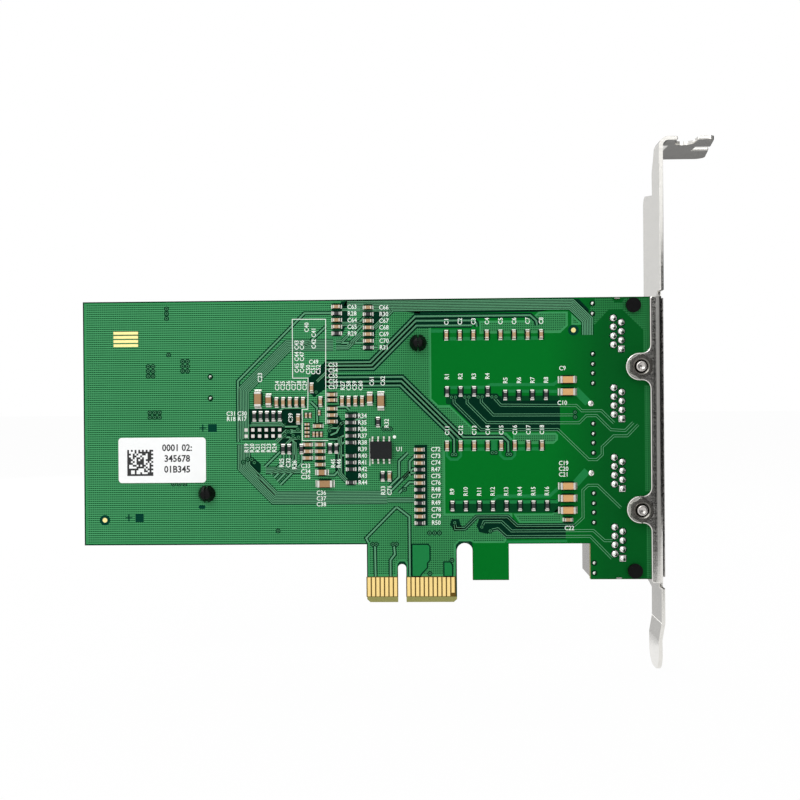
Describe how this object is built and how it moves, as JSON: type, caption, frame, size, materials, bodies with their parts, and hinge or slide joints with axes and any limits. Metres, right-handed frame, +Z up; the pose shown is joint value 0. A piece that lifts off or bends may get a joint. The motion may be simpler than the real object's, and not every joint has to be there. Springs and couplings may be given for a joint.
{
  "type": "network interface card",
  "caption": "Plug-in network card with a full-height steel bracket, a row of modular jacks and an edge connector.",
  "frame": {"origin": "middle of the key notch at the tips of the edge contacts, in the middle of the board's thickness", "axes": "+X along the card to the bracket, +Y from the solder side to the component side, +Z up, out of the slot"},
  "size_m": [0.1453, 0.0217, 0.1201],
  "materials": {
    "board_laminate": "satin green solder mask",
    "gold": "polished",
    "tin": "satin",
    "bracket_steel": "satin",
    "screw_steel": "satin",
    "housing_plastic": "fine matte",
    "shield_metal": "satin",
    "green_lens": "gloss",
    "amber_lens": "gloss",
    "chip_black": "matte",
    "thermal_grey": "matte",
    "sink_aluminium": "anodised",
    "pin_plastic": "satin",
    "ferrite_grey": "matte",
    "capacitor_ceramic": "matte",
    "resistor_black": "satin",
    "label_white": "matte"
  },
  "bodies": {
    "root": {"circuit_board": "board_laminate", "edge_contacts_solder_side": "gold", "edge_contacts_component_side": "gold", "gold_marks": "gold", "bare_pads": "tin", "bracket": "bracket_steel", "bracket_screws": "screw_steel", "bracket_nuts": "screw_steel", "jack_housing": "housing_plastic", "jack_shield": "shield_metal", "jack_contacts": "gold", "jack_lights_green": "green_lens", "jack_lights_amber": "amber_lens", "jack_light_leads": "tin", "solder_joints": "tin", "controller_chip": "chip_black", "thermal_pad": "thermal_grey", "heat_sink": "sink_aluminium", "push_pins": "pin_plastic", "push_pin_springs": "screw_steel", "line_transformers": "chip_black", "line_transformer_leads": "tin", "memory_chip": "chip_black", "memory_chip_leads": "tin", "crystal": "shield_metal", "regulators": "chip_black", "regulator_leads": "tin", "power_inductor": "ferrite_grey", "power_inductor_feet": "tin", "small_capacitors": "capacitor_ceramic", "small_resistors": "resistor_black", "large_capacitor_bodies": "capacitor_ceramic", "large_capacitor_end_caps": "tin", "identity_label": "label_white"}
  },
  "joints": []
}
